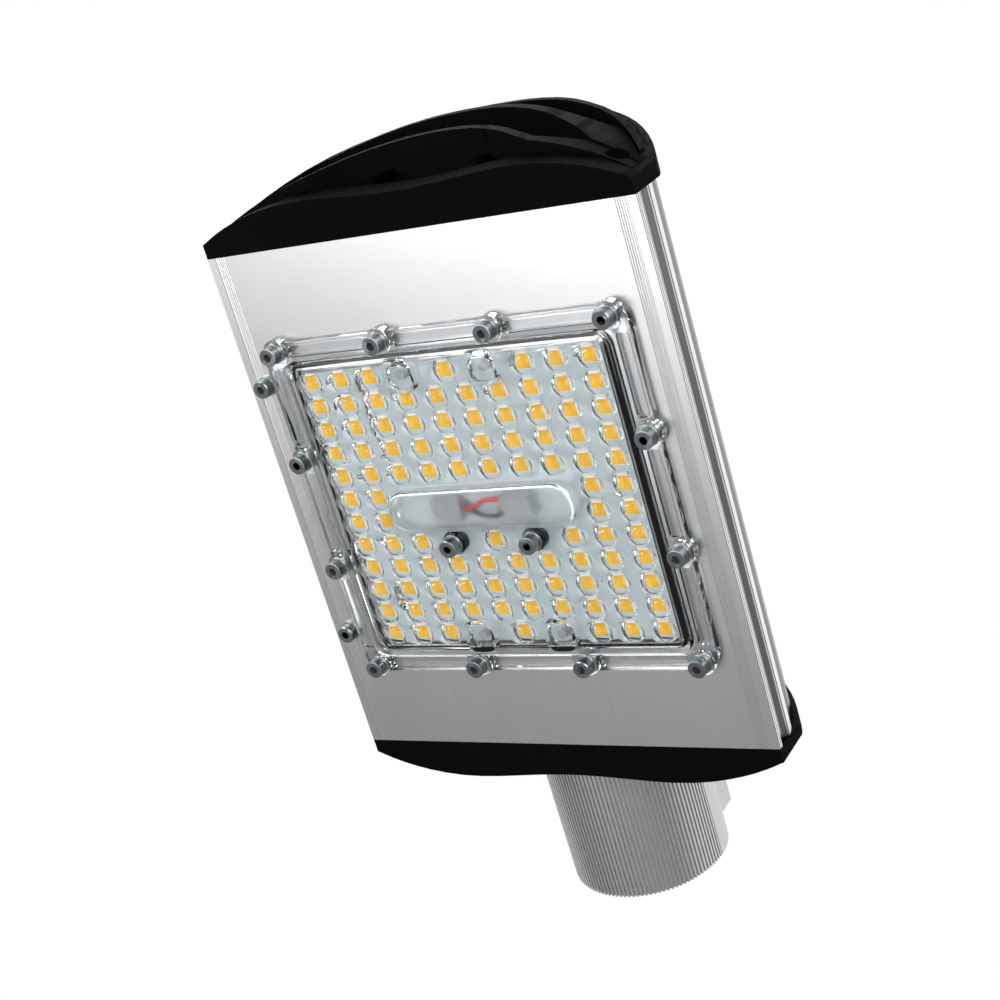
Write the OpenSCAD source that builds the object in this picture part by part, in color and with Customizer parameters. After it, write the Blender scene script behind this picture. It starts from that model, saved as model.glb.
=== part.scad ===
// Pole-mounted LED street light.
// An aluminium extrusion carries the LED board and a clear lens plate on its lower face,
// the driver in a sealed chamber above, and cooling fins either side of that chamber.
// A black louvred cap closes each end, and a ribbed spigot at the rear takes the pole arm.
//
// Frame: millimetres, +Z up, light shines towards -Z.
// The origin is the centre of the spigot bore's mouth, and +Y points out of that mouth.
// Heights below are measured up from the light's lower face, lengths from the body's middle.

/* [Housing] */
// width of the lower face, side to side
body_w = 180; // [180:1:190]
// length of the extrusion between the caps
body_l = 208; // [190:1:240]
// thickness of the plate that carries the LED board
base_t = 6; // [6:0.5:8]
// height of the dome's crown above the lower face
dome_h = 82.5; // [81:0.5:90]
// height of the upright part of the side wall
side_h = 17; // [16:0.5:20]
// thickness of the driver chamber's walls
chamber_t = 3; // [2.5:0.5:4]
// outer width of the driver chamber
chamber_w = 76; // [74:1:80]
// outer height of the driver chamber above the lower face
chamber_h = 72; // [70:0.5:73]
// number of cooling fins on each side
fin_count = 5; // [3:1:5]
// thickness of a cooling fin
fin_t = 1.8; // [1.4:0.1:2.4]
// number of fine lines along each edge of the lower face
edge_line_count = 5; // [3:1:6]
// distance from one fine line to the next
edge_line_pitch = 0.66; // [0.6:0.02:0.7]
// depth of a fine line
edge_line_d = 0.25; // [0.15:0.05:0.4]

/* [Caps] */
// wall thickness of a cap
cap_wall = 2; // [1.6:0.1:2]
// how far a cap stands out at its side corners
corner_out = 5.5; // [5:0.5:8]
// extra reach of the bottom rim at its two brows
rim_brow = 11.6; // [10:0.2:14]
// how far the rim dips back between its brows
rim_dip = 3.2; // [0:0.2:4]
// extra reach of the second louvre at its middle
louvre2_reach = 19; // [17:0.5:21]
// extra reach of the third louvre at its middle
louvre3_reach = 20.3; // [18:0.5:23]
// extra reach of the crown louvre at its middle
louvre4_reach = 17; // [16:0.5:19]
// height of the bottom rim's front wall at its middle
rim_h = 13; // [11:0.5:14]
// height of the second louvre's lower edge at its middle
louvre2_h = 34; // [32:0.5:36]
// height of the third louvre's lower edge at its middle
louvre3_h = 55; // [53:0.5:57]
// height of the crown louvre's lower edge at its middle
louvre4_h = 73.4; // [72:0.2:74]
// thickness of a louvre's front edge at its middle
louvre_t = 4; // [3:0.5:5]
// distance from the middle to each upright rib
rib_x = 21; // [18:0.5:24]
// width of an upright rib
rib_w = 5; // [3:0.5:6]
// extra reach of the roof's front edge at its middle
roof_reach = 14; // [12:0.5:16]
// height of a cap screw above the lower face
cap_screw_z = 14; // [12:0.5:15]
// distance from the side of the body to a cap screw
cap_screw_in = 10.5; // [10:0.5:12]

/* [Spigot] */
// radius of the bore that takes the pole arm
bore_r = 26; // [24:0.1:26.5]
// outer radius of the tube over its ribs
tube_r = 32.2; // [31.5:0.1:32.8]
// distance from the rear end of the extrusion to the spigot's mouth
spigot_out = 75; // [65:1:110]
// height of the spigot's axis above the lower face
axis_h = 38; // [37:0.2:38.5]
// number of ribs round the lower half of the tube
tube_rib_count = 56; // [40:1:60]
// height of a tube rib
tube_rib_h = 0.8; // [0.5:0.1:1]
// width of the clamp rail on top of the tube
rail_w = 40; // [32:1:41]
// distance from the clamp rail's top up to the dome's crown
rail_under = 5.5; // [5.3:0.1:7.5]
// thickness of the spigot's flange
flange_t = 4; // [3:0.5:4]
// radius of a clamp screw
clamp_screw_r = 4; // [3:0.5:5]

/* [Lens plate] */
// distance from the side of the lens plate to the side of the body
plate_margin = 13; // [12.5:0.5:14]
// length of the lens plate's flange
plate_l = 139; // [139:1:144]
// thickness of the flange
plate_t = 3; // [2.5:0.1:3.2]
// height of the frame round the window, from the lower face
frame_h = 5.8; // [5:0.1:6.5]
// depth of the window's outer face, from the lower face
window_h = 4.5; // [4.5:0.1:4.8]
// depth of the hollow over the LED board
hollow_h = 3; // [2.8:0.1:3]
// half length of a lens's foot, along a row's own direction
lens_y = 4.4; // [4:0.1:4.6]
// how far a lens's two lobes stand from its middle
lobe = 1.4; // [0.8:0.1:1.6]
// height of a lens above the window
lens_h = 3.2; // [2.4:0.1:3.6]
// radius of the pocket over an LED, where it opens into the hollow
lens_pocket_r = 3.7; // [3.2:0.1:3.8]
// depth of that pocket
lens_pocket_h = 2; // [1.6:0.1:2.2]
// height of the connector cover above the lower face
cover_h = 8.6; // [8:0.1:10]
// radius of a screw boss on the flange
boss_r = 5; // [4.6:0.1:5.4]
// height of a screw boss from the lower face
boss_h = 4; // [3.6:0.1:4.4]

/* [LED board] */
// how far the outer LED columns' lenses reach past the side of the window's hollow
col_edge = 0.15; // [0:0.05:0.6]
// distance from the outer LED rows' lenses to the end of the window's hollow
row_edge = 1; // [0.8:0.05:1.4]
// side of an LED package
led_w = 5; // [3:0.1:5.2]
// thickness of the LED board
board_t = 1.6; // [1:0.1:1.6]
// height of an LED package
led_h = 0.9; // [0.6:0.1:1]

/* [Fasteners] */
// radius of the lens plate's screws
screw_r = 2; // [1.5:0.1:2.2]
// radius of a socket head
head_r = 3.5; // [3.2:0.1:3.8]
// height of a socket head
head_h = 4; // [3:0.1:5]
// width across the flats of a hexagon socket
socket_af = 3; // [2.5:0.1:3.2]
// thickness of a washer
washer_t = 1; // [0.8:0.1:1.4]
// radius of a washer
washer_r = 4; // [3.7:0.1:4.1]
// clearance round a screw in a plain hole
screw_gap = 0.25; // [0.1:0.05:0.4]
// clearance round a screw in its own thread
thread_gap = 0.05; // [0.02:0.01:0.1]

/* [Driver] */
// width of the driver
driver_w = 50; // [40:1:52]
// length of the driver
driver_l = 130; // [90:1:140]
// height of the driver
driver_h = 34; // [24:1:36]

/* [Hidden] */
$fa = 6;
$fs = 0.6;
eps = 0.01;
half_w = body_w / 2;
half_l = body_l / 2;
mouth_y = half_l + spigot_out;
seal_t = 1;
bulkhead_t = 3;
chamber_in = chamber_w / 2 - chamber_t;
roof_in = chamber_h - chamber_t;
roof_flat = 22;
roof_drop = 12;
side_foot_x = half_w - 17;
fin_pitch = (side_foot_x - chamber_w / 2) / (fin_count + 1);
fin_first = chamber_w / 2 + fin_pitch;
plate_w = body_w - 2 * plate_margin;
wall_top_x = half_w - 9.5;
wall_top_z = side_h + 13;
dome_power = 0.85;
crown_lip = 3;
rim_end_h = 6;
groove_w = 0.8;
core_back = 3.5;
core_t = 2.4;
pillar_w = 5.5;
groove2_end_h = 10.5;
groove4_end_h = side_h + 1;
bow2 = 0.00954;
bow3 = 0.00763;
slot1_half = 47;
slot2_half = 59;
slot3_half = 64;
dip_half = 58;
slot_in = 1.2;
joint_back = 5;
past_cap = 60;
cap_boss_h = 6;
cap_head_in = 3;
cap_screw_l = 13;
screw_grip = 10;
breather_thread = 6;
gland_thread = 8;
spigot_fit = 0.6;
rail_h = dome_h - rail_under - axis_h;
bulkhead_screw_x = chamber_in - 3.5;
bulkhead_low = base_t - 2.5;
bulkhead_screw_low = base_t + 6;
bulkhead_screw_high = chamber_h - 15;
bulkhead_screw_r = 2;
low_head_h = 2.2;
cap_screw_x = half_w - cap_screw_in;
cap_screw_r = 1.8;
gland_r = 10;
gland_bore_r = 4.5;
breather_r = 6;
flange_hole_r = 15;
frame_out_x = plate_w / 2 - 7.5;
frame_in_x = frame_out_x - 3.5;
frame_out_y = plate_l / 2 - 7.7;
frame_in_y = frame_out_y - 3.1;
hollow_x = frame_in_x - 1.4;
hollow_y = frame_in_y - 0.5;
board_x = hollow_x - 0.6;
board_y = hollow_y - 1.4;
led_cols = 10;
led_rows = 12;
col_pitch = 2 * (hollow_x - lens_y - lobe + col_edge) / (led_cols - 1);
row_pitch = 2 * (hollow_y - lens_y - row_edge) / (led_rows - 1);
cover_x = 3 * col_pitch + 0.2;
cover_y = 8.4;
cover_wall = 1.5;
hump_x = col_pitch * 4 / 3;
hump_y = (led_rows - 1) / 2 * row_pitch + 0.4;
hump_w = 13;
hump_h = 7.8;
seat_x = hump_x - 0.3;
seat_y = 1.5 * row_pitch;
seat_r = 4.6;
seat_h = 5.5;
gasket_w = 1.3;
gasket_out_x = hollow_x + 0.9 + gasket_w;
gasket_out_y = hollow_y + 0.9 + gasket_w;
gasket_t = 1;
blind_d = base_t - 0.5;
thread_in = base_t - 0.9;
floor_left = 1.5;
edge_gap = 1;
edge_x = -(plate_w / 2 + edge_gap + washer_r);
edge_y = 52.6;
corner_x = plate_w / 2 - 6.5;
end_y = plate_l / 2 - 3.3;
side_x = plate_w / 2 - 3;
side_y = 22.5;
clamp_back = [41, 15];
pocket_d = 1.3;
pocket_w = 4.6;
pin_t = 1.2;
bracket_t = 1.5;
bracket_w = driver_w + 2;
bracket_end = 15;
bracket_l = driver_l + 2 * bracket_end;
driver_screw_x = 15;
driver_screw_y = driver_l / 2 + bracket_end - 6;
block_w = 30;
block_l = 12;
block_h = 16;
block_pitch = 9;
block_x = -8;
block_y = half_l - 10;
earth_x = 18;
earth_y = half_l - 10;
board_dot_x = 39.3;
board_dot_y = 33.6;
connector_x = 15;
connector_w = 12;
connector_l = 8;
connector_h = 4.2;
pin_r = 1.8;
pin_h = 3;

// lens plate screws, as [x, y] on the lower face
end_screws = [for (x = [-1, -1 / 3, 1 / 3, 1], s = [-1, 1]) [x * corner_x, s * end_y]];
side_screws = [for (s = [-1, 1], t = [-1, 1]) [s * side_x, t * side_y]];
plate_screws = concat(end_screws, side_screws);
// screws in the middle of the window, and screws set directly on the face
seats = [[-seat_x, seat_y], [seat_x, seat_y]];
edges = [[edge_x, -edge_y], [edge_x, edge_y]];
// LED columns present in a full row, in an end row and in a middle row
full_cols = [for (c = [0 : led_cols - 1]) c];
end_cols = [0, 1, 2, 4.5, 7, 8, 9];
mid_cols = [0, 1, 8, 9];
// LED columns in a given row
function cols_in(r) = (r == 0 || r == 7 || r == 11) ? end_cols : (r == 5 || r == 6) ? mid_cols : full_cols;
// LED centres, as [x, y] on the lower face
leds = [for (r = [0 : led_rows - 1], c = cols_in(r))
    [(c - (led_cols - 1) / 2) * col_pitch, (r - (led_rows - 1) / 2) * row_pitch]];

// Placing helpers

// from the body's own axes to the part's frame
module in_body() {
    translate([0, -mouth_y, -axis_h]) children();
}

// turns a front view, drawn as x and height, into a solid from y0 to y1
module front_view(y0, y1) {
    translate([0, y1, 0]) rotate([90, 0, 0]) linear_extrude(y1 - y0) children();
}

// turns a side view, drawn as y and height, into a solid across the whole width
module side_view() {
    rotate([90, 0, 90]) linear_extrude(body_w + 20, center = true) children();
}

// a copy of a rear piece at the front end
module at_front() {
    mirror([0, 1, 0]) children();
}

// a rectangle with rounded corners, in the plan view
module rounded(w, l, r) {
    for (x = [-1, 1], y = [-1, 1]) {
        translate([x * (w / 2 - r), y * (l / 2 - r)]) circle(r);
    }
    square([w - 2 * r, l], center = true);
    square([w, l - 2 * r], center = true);
}

// Curves of the caps

// share of the half width used up at x
function share(x) = min(1, abs(x) / half_w);
// height of the dome's outer face
function dome(x) = side_h + (dome_h - side_h) * pow(max(0, 1 - pow(share(x), 2)), dome_power);
// height of a skin that lies d inside the dome
function dome_in(x, d) = let (part_way = abs(x) / (half_w - d))
    side_h + (dome_h - d - side_h) * pow(max(0, 1 - pow(part_way, 2)), dome_power);
// reach of the bottom rim from the joint
function out1(x) = corner_out + rim_brow * (1 - pow(share(x), 4))
    - (abs(x) < dip_half ? rim_dip * (1 + cos(180 * x / dip_half)) / 2 : 0);
// reach of the louvres and of the roof from the joint
function out2(x) = corner_out + louvre2_reach * (1 - pow(share(x), 2.5));
function out3(x) = corner_out + louvre3_reach * (1 - pow(share(x), 2.5));
function out4(x) = corner_out + louvre4_reach * (1 - pow(share(x), 4));
function out_roof(x) = corner_out + roof_reach * (1 - pow(share(x), 2.7));
// reach of the wall behind the louvres
function out_core(x) = out1(x) - core_back;
// top of the rim's front wall
function top1(x) = rim_end_h + (rim_h - rim_end_h) * (1 - pow(share(x), 4));
// lower and upper edges of the louvres
function low2(x) = max(louvre2_h - bow2 * x * x, top1(x) + groove_w);
function line2(x) = groove2_end_h + 12 * (1 - pow(share(x), 4));
function low3(x) = max(louvre3_h - bow3 * x * x, line2(x) + groove_w);
function low4(x) = max(louvre4_h - bow3 * x * x, groove4_end_h);
function top2(x) = min(low2(x) + louvre_t + 12 * pow(share(x), 4), low3(x) - groove_w);
function top3(x) = min(low3(x) + louvre_t + 30 * pow(share(x), 4), low4(x) - groove_w);

// x values between -w and w in n steps, closer together towards the ends
function stations(w, n) = [for (i = [0 : n]) w * sin(90 * (2 * i / n - 1))];
// x values of the curves seen from above, and of the curves seen from the front out to w
plan_x = stations(half_w + 1, 29);
function front_x(w) = stations(w, 32);
// the points of a row in reverse order
function back(p) = [for (i = [len(p) - 1 : -1 : 0]) p[i]];

// the band between a row of lower and a row of upper points
module band(low, high) {
    polygon(concat(low, back(high)));
}

// everything between two reaches, given at the x values of the plan
module reach(from, to) {
    translate([0, 0, -2]) linear_extrude(dome_h + 4) {
        band([for (i = [0 : len(plan_x) - 1]) [plan_x[i], from[i]]],
            [for (i = [0 : len(plan_x) - 1]) [plan_x[i], to[i]]]);
    }
}

// a blade in front of the wall: rows of [x, lower height, upper height], cut to its reach
module blade(rows, outs) {
    intersection() {
        reach([for (x = plan_x) out_core(x) - core_t / 2], outs);
        front_view(-joint_back, past_cap) band([for (r = rows) [r.x, r.y]], [for (r = rows) [r.x, r.z]]);
    }
}

// the roof and the side walls: an arch seen from the front
module roof() {
    inner = half_w - cap_wall;
    outer_arch = [for (x = front_x(half_w)) [x, dome(x)]];
    inner_arch = [for (x = front_x(inner)) [x, dome_in(x, cap_wall)]];
    intersection() {
        reach([for (x = plan_x) 0], [for (x = plan_x) out_roof(x)]);
        front_view(-joint_back, past_cap) difference() {
            polygon(concat([[-half_w, 0]], outer_arch, [[half_w, 0]]));
            polygon(concat([[-inner, -1]], inner_arch, [[inner, -1]]));
        }
    }
}

// x values across one air opening: the middle one, or the one between a rib and w on side s
function slot_x(s, w) = let (edge = rib_x + rib_w / 2, low = s == 0 ? rib_w - edge : edge)
    [for (i = [0 : 6]) s == 0 ? low * (i / 3 - 1) : s * (edge + (w - edge) * i / 6)];

// the wall behind the louvres, with its air openings
module core() {
    xs = front_x(half_w - 1);
    difference() {
        intersection() {
            reach([for (x = plan_x) out_core(x) - core_t], [for (x = plan_x) out_core(x)]);
            front_view(-joint_back, past_cap) band([for (x = xs) [x, 1]], [for (x = xs) [x, dome(x) - 1]]);
        }
        for (s = [-1, 0, 1]) {
            front_view(-joint_back, past_cap) {
                xa = slot_x(s, slot1_half);
                xb = slot_x(s, slot2_half);
                xc = slot_x(s, slot3_half);
                band([for (x = xa) [x, top1(x) - slot_in]], [for (x = xa) [x, low2(x) + slot_in]]);
                band([for (x = xb) [x, top2(x) - slot_in]], [for (x = xb) [x, low3(x) + slot_in]]);
                band([for (x = xc) [x, top3(x) - slot_in]], [for (x = xc) [x, low4(x) + slot_in]]);
            }
        }
    }
}

// a whole cap, pointing away from the joint at y = 0
module cap_body() {
    inset = half_w - 0.2;
    louvre_x = front_x(half_w - 3);
    crown_x = front_x(half_w - 5.5);
    pillar_x = [for (i = [0 : 6]) inset - pillar_w * (1 - i / 6)];
    difference() {
        union() {
            roof();
            core();
            // floor
            intersection() {
                reach([for (x = plan_x) 0], [for (x = plan_x) out1(x) - 0.1]);
                translate([-inset, -joint_back, 0]) cube([2 * inset, past_cap, cap_wall + 1]);
            }
            // rim, louvres and crown
            blade([for (x = front_x(inset)) [x, 0.4, top1(x)]], [for (x = plan_x) out1(x)]);
            blade([for (x = louvre_x) [x, low2(x), top2(x)]], [for (x = plan_x) out2(x)]);
            blade([for (x = louvre_x) [x, low3(x), top3(x)]], [for (x = plan_x) out3(x)]);
            blade([for (x = crown_x) [x, low4(x), low4(x) + crown_lip]], [for (x = plan_x) out4(x)]);
            blade([for (x = crown_x) [x, low4(x) + 1, dome(x) - 0.5]], [for (x = plan_x) out_roof(x) - 0.1]);
            for (s = [0, 1]) {
                mirror([s, 0, 0]) {
                    // upright rib
                    translate([rib_x - rib_w / 2, out_core(rib_x) - 1, 2]) {
                        cube([rib_w, core_back + 0.8, dome(rib_x) - 4]);
                    }
                    // corner pillar
                    intersection() {
                        reach([for (x = plan_x) 0.5], [for (x = plan_x) out1(x) - 0.05]);
                        front_view(-joint_back, past_cap) {
                            band([for (x = pillar_x) [x, 0.5]], [for (x = pillar_x) [x, dome(x) - 0.5]]);
                        }
                    }
                    // boss for the screw that holds the cap
                    translate([cap_screw_x, 0, cap_screw_z]) rotate([-90, 0, 0]) {
                        cylinder(h = cap_boss_h, r = head_r + 1.8);
                    }
                }
            }
        }
        // screw holes with recessed heads
        for (s = [-1, 1]) {
            translate([s * cap_screw_x, 0, cap_screw_z]) rotate([-90, 0, 0]) {
                translate([0, 0, -1]) cylinder(h = past_cap, r = cap_screw_r + screw_gap);
                translate([0, 0, cap_head_in]) cylinder(h = past_cap, r = head_r + screw_gap);
            }
        }
    }
}

// the cap in its place at the rear end
module cap() {
    translate([0, half_l, 0]) cap_body();
}

// Housing

// height of the body's envelope under the roof of a cap
function under_roof(x) = dome_in(x, cap_wall + 1);

// the right half of the extrusion's outline: lip, ledge, ribbed slope, fins and chamber
teeth = 8;
foot = [half_w - 2.4, side_h - 3];
head = [wall_top_x, wall_top_z];
slope = [for (i = [0 : 2 * teeth])
    foot + (head - foot) * i / (2 * teeth) - (i % 2 == 1 ? [0.45, 0.3] : [0, 0])];
fin_points = [for (i = [fin_count - 1 : -1 : 0])
    let (x = fin_first + i * fin_pitch, h = under_roof(x + fin_t))
    each [[x + fin_t / 2, base_t], [x + fin_t / 2, h], [x - fin_t / 2, h], [x - fin_t / 2, base_t]]];
half_outline = concat(
    [[half_w, 0], [half_w, side_h - 7], [half_w - 0.6, side_h - 3.4]],
    slope,
    [[wall_top_x - 2.4, wall_top_z], [wall_top_x - 2.4, side_h + 2], [side_foot_x, side_h + 1],
     [side_foot_x, base_t]],
    fin_points,
    [[chamber_w / 2, base_t], [chamber_w / 2, chamber_h - roof_drop], [roof_flat, chamber_h]]);
// the points of an outline seen in the mirror
function mirrored(p) = [for (q = back(p)) [-q.x, q.y]];

// the space inside the driver chamber, with the bosses for the bulkhead screws left standing
module chamber_space() {
    half_space = [[chamber_in, base_t], [chamber_in, roof_in - roof_drop + 1], [roof_flat - 1, roof_in]];
    difference() {
        polygon(concat(half_space, mirrored(half_space)));
        for (s = [-1, 1], z = [bulkhead_screw_low, bulkhead_screw_high]) {
            translate([s * bulkhead_screw_x, z]) circle(4.5);
            translate([s * (bulkhead_screw_x + 4.5) - 4.5, z - 4.5]) square(9);
        }
    }
}

// the constant section of the extrusion
module section() {
    difference() {
        polygon(concat(half_outline, mirrored(half_outline)));
        chamber_space();
        for (s = [-1, 1]) {
            // finger groove along the side, and thread for the caps' screws
            translate([s * (half_w + 0.6), 5.9]) circle(3.6);
            translate([s * cap_screw_x, cap_screw_z]) circle(cap_screw_r + thread_gap);
            // fine lines along the edge of the lower face
            for (i = [0 : edge_line_count - 1]) {
                translate([s * (half_w - 5.5 + i * edge_line_pitch) - edge_line_pitch / 4, -1]) {
                    square([edge_line_pitch / 2, 1 + edge_line_d]);
                }
            }
            for (z = [bulkhead_screw_low, bulkhead_screw_high]) {
                translate([s * bulkhead_screw_x, z]) circle(bulkhead_screw_r + thread_gap);
            }
        }
    }
}

module housing() {
    color("silver") in_body() difference() {
        front_view(-half_l, half_l) section();
        // blind threads for the lens plate's screws
        for (p = plate_screws) {
            translate([p.x, p.y, -1]) cylinder(h = blind_d + 1, r = screw_r + thread_gap);
        }
        for (s = [-1, 1]) {
            translate([s * seat_x, seat_y, -1]) cylinder(h = blind_d + 1, r = screw_r + thread_gap);
            translate([edge_x, s * edge_y, -1]) cylinder(h = blind_d + 1, r = screw_r + thread_gap);
        }
        // threads for the driver's screws and the earth screw, from inside the chamber
        for (s = [-1, 1]) {
            translate([s * driver_screw_x, s * driver_screw_y, floor_left]) {
                cylinder(h = base_t, r = screw_r + thread_gap);
            }
        }
        translate([earth_x, earth_y, floor_left]) cylinder(h = base_t, r = screw_r + thread_gap);
    }
}

// Caps

module front_cap() {
    color("dimgray") in_body() at_front() cap();
}

module rear_cap() {
    color("dimgray") in_body() difference() {
        cap();
        front_view(half_l - joint_back, half_l + past_cap) {
            translate([0, axis_h]) {
                circle(tube_r + spigot_fit);
                translate([-rail_w / 2 - spigot_fit, 0]) {
                    square([rail_w + 2 * spigot_fit, rail_h + spigot_fit]);
                }
            }
        }
    }
}

// screws that hold a cap, at the rear end
module cap_screws() {
    for (s = [-1, 1]) {
        translate([s * cap_screw_x, half_l + cap_head_in, cap_screw_z]) rotate([-90, 0, 0]) {
            socket_screw(cap_screw_r, head_r, low_head_h, cap_screw_l);
        }
    }
}

module front_cap_screws() {
    color("gray") in_body() at_front() cap_screws();
}

module rear_cap_screws() {
    color("gray") in_body() cap_screws();
}

// Fasteners

// a socket-head screw: underside of its head at 0, head up, shank down
module socket_screw(shank, head, h, l) {
    difference() {
        union() {
            cylinder(h = h - 0.3, r = head);
            translate([0, 0, h - 0.3 - eps]) cylinder(h = 0.3 + eps, r1 = head, r2 = head - 0.3);
            translate([0, 0, -l]) cylinder(h = l + eps, r = shank);
        }
        translate([0, 0, h * 0.4]) cylinder(h = h, r = socket_af / sqrt(3), $fn = 6);
    }
}

// a plain washer with its lower side at 0
module washer() {
    difference() {
        cylinder(h = washer_t, r = washer_r);
        translate([0, 0, -1]) cylinder(h = washer_t + 2, r = screw_r + screw_gap);
    }
}

// turns what is drawn upwards from the lower face so that it hangs below that face
module below() {
    mirror([0, 0, 1]) children();
}

// a child at each place on the lower face, h below that face
module hung(places, h) {
    below() {
        for (p = places) {
            translate([p.x, p.y, h]) children();
        }
    }
}

// Chamber ends

// the plan of a bulkhead or its seal, seen from the front
module bulkhead_outline() {
    difference() {
        polygon([[-chamber_w / 2, bulkhead_low], [-chamber_w / 2, chamber_h - roof_drop],
            [-roof_flat, chamber_h], [roof_flat, chamber_h],
            [chamber_w / 2, chamber_h - roof_drop], [chamber_w / 2, bulkhead_low]]);
        for (s = [-1, 1], z = [bulkhead_screw_low, bulkhead_screw_high]) {
            translate([s * bulkhead_screw_x, z]) circle(bulkhead_screw_r + screw_gap);
        }
    }
}

module seal() {
    front_view(half_l, half_l + seal_t) difference() {
        bulkhead_outline();
        translate([10 - chamber_in, base_t + 2]) square([2 * chamber_in - 20, roof_in - base_t - 6]);
    }
}

module front_seal() {
    color("black") in_body() at_front() seal();
}

module rear_seal() {
    color("black") in_body() seal();
}

// a bulkhead with a round hole for its fitting
module bulkhead(fitting_r, fitting_z) {
    front_view(half_l + seal_t, half_l + seal_t + bulkhead_t) difference() {
        bulkhead_outline();
        translate([0, fitting_z]) circle(fitting_r);
    }
}

module front_bulkhead() {
    color("lightgray") in_body() at_front() bulkhead(breather_r + screw_gap, axis_h);
}

module rear_bulkhead() {
    color("lightgray") in_body() bulkhead(gland_r + screw_gap, axis_h);
}

// four screws through a chamber end, with the underside of their heads at y
module chamber_end_screws(y, l) {
    for (s = [-1, 1], z = [bulkhead_screw_low, bulkhead_screw_high]) {
        translate([s * bulkhead_screw_x, y, z]) rotate([-90, 0, 0]) {
            socket_screw(bulkhead_screw_r, head_r, low_head_h, l);
        }
    }
}

module front_bulkhead_screws() {
    color("gray") in_body() at_front() {
        chamber_end_screws(half_l + seal_t + bulkhead_t, seal_t + bulkhead_t + screw_grip);
    }
}

// vent plug: low round head outside, thread through the bulkhead, ring nut inside
module breather() {
    y = half_l + seal_t + bulkhead_t;
    color("black") in_body() at_front() translate([0, y, axis_h]) rotate([-90, 0, 0]) {
        cylinder(h = 2.6, r = breather_r + 3);
        translate([0, 0, -bulkhead_t - breather_thread]) {
            cylinder(h = bulkhead_t + breather_thread + eps, r = breather_r);
        }
        translate([0, 0, -bulkhead_t - 4]) cylinder(h = 4, r = breather_r + 3.5, $fn = 6);
    }
}

// cable gland: dome nut outside, thread through the bulkhead, hexagon nut inside
module cable_gland() {
    y = half_l + seal_t + bulkhead_t;
    color("black") in_body() translate([0, y, axis_h]) rotate([-90, 0, 0]) {
        difference() {
            union() {
                cylinder(h = 3.6, r = gland_r + 3);
                translate([0, 0, -bulkhead_t - gland_thread]) {
                    cylinder(h = bulkhead_t + gland_thread + eps, r = gland_r);
                }
                translate([0, 0, -bulkhead_t - 5]) cylinder(h = 5, r = gland_r + 4, $fn = 6);
            }
            translate([0, 0, -past_cap]) cylinder(h = 2 * past_cap, r = gland_bore_r);
        }
    }
}

// Spigot

// the section of the tube: smooth above, finely ribbed below, with the clamp rail on top
module tube_section() {
    rib_step = 180 / tube_rib_count;
    difference() {
        union() {
            circle(tube_r - tube_rib_h);
            intersection() {
                circle(tube_r);
                translate([-tube_r, 0]) square(2 * tube_r);
            }
            for (i = [0 : tube_rib_count - 1]) {
                rotate(180 + (i + 0.5) * rib_step) {
                    translate([tube_r - tube_rib_h - 0.3, -0.45]) square([tube_rib_h + 0.3, 0.9]);
                }
            }
            translate([-rail_w / 2, 0]) square([rail_w, rail_h]);
        }
        circle(bore_r);
    }
}

module spigot() {
    y0 = half_l + seal_t + bulkhead_t;
    y1 = y0 + flange_t;
    color("silver") in_body() difference() {
        union() {
            front_view(y0, y1) difference() {
                bulkhead_outline();
                translate([0, axis_h]) circle(flange_hole_r);
            }
            front_view(y1 - eps, mouth_y) translate([0, axis_h]) tube_section();
        }
        // recesses for the flange's screw heads
        for (s = [-1, 1], z = [bulkhead_screw_low, bulkhead_screw_high]) {
            translate([s * bulkhead_screw_x, y1 - low_head_h, z]) rotate([-90, 0, 0]) {
                cylinder(h = 3, r = head_r + screw_gap);
            }
        }
        // threads for the clamp screws
        for (b = clamp_back) {
            translate([0, mouth_y - b, axis_h + bore_r - 2]) {
                cylinder(h = rail_h, r = clamp_screw_r + thread_gap);
            }
        }
    }
}

// screws that hold the flange and the rear bulkhead to the housing
module spigot_screws() {
    y = half_l + seal_t + bulkhead_t + flange_t - low_head_h;
    color("gray") in_body() chamber_end_screws(y, y - half_l + screw_grip);
}

// headless screws that grip the pole arm
module clamp_screws() {
    tip = axis_h + bore_r + 0.5;
    top = axis_h + rail_h + 2;
    color("gray") in_body() for (b = clamp_back) {
        translate([0, mouth_y - b, tip]) difference() {
            cylinder(h = top - tip, r = clamp_screw_r);
            translate([0, 0, top - tip - 4]) cylinder(h = 5, r = clamp_screw_r * 0.58, $fn = 6);
        }
    }
}

// LED board

module led_board() {
    color("azure") in_body() below() difference() {
        linear_extrude(board_t) rounded(2 * board_x, 2 * board_y, 2);
        for (s = [-1, 1]) {
            translate([s * seat_x, seat_y, -1]) cylinder(h = board_t + 2, r = screw_r + screw_gap);
            for (t = [-1, 1]) {
                translate([s * board_dot_x, t * board_dot_y, -1]) cylinder(h = board_t + 2, r = 1);
            }
        }
    }
}

module led_packages() {
    color("gold") in_body() hung(leds, board_t) {
        translate([-led_w / 2, -led_w / 2, 0]) cube([led_w, led_w, led_h]);
    }
}

// two wire connectors under the middle cover, and a wire pin under each small cover
module board_connectors() {
    color("gray") in_body() below() {
        for (s = [-1, 1]) {
            translate([s * connector_x - connector_w / 2, -connector_l / 2, board_t]) {
                cube([connector_w, connector_l, connector_h]);
            }
            for (t = [-1, 1]) {
                translate([s * hump_x, t * hump_y, board_t]) cylinder(h = pin_h, r = pin_r);
            }
        }
    }
}

// Lens plate

// a pad on the window with a hollow under it
module pad(w, l, h, r) {
    linear_extrude(h) rounded(w, l, r);
}

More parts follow.
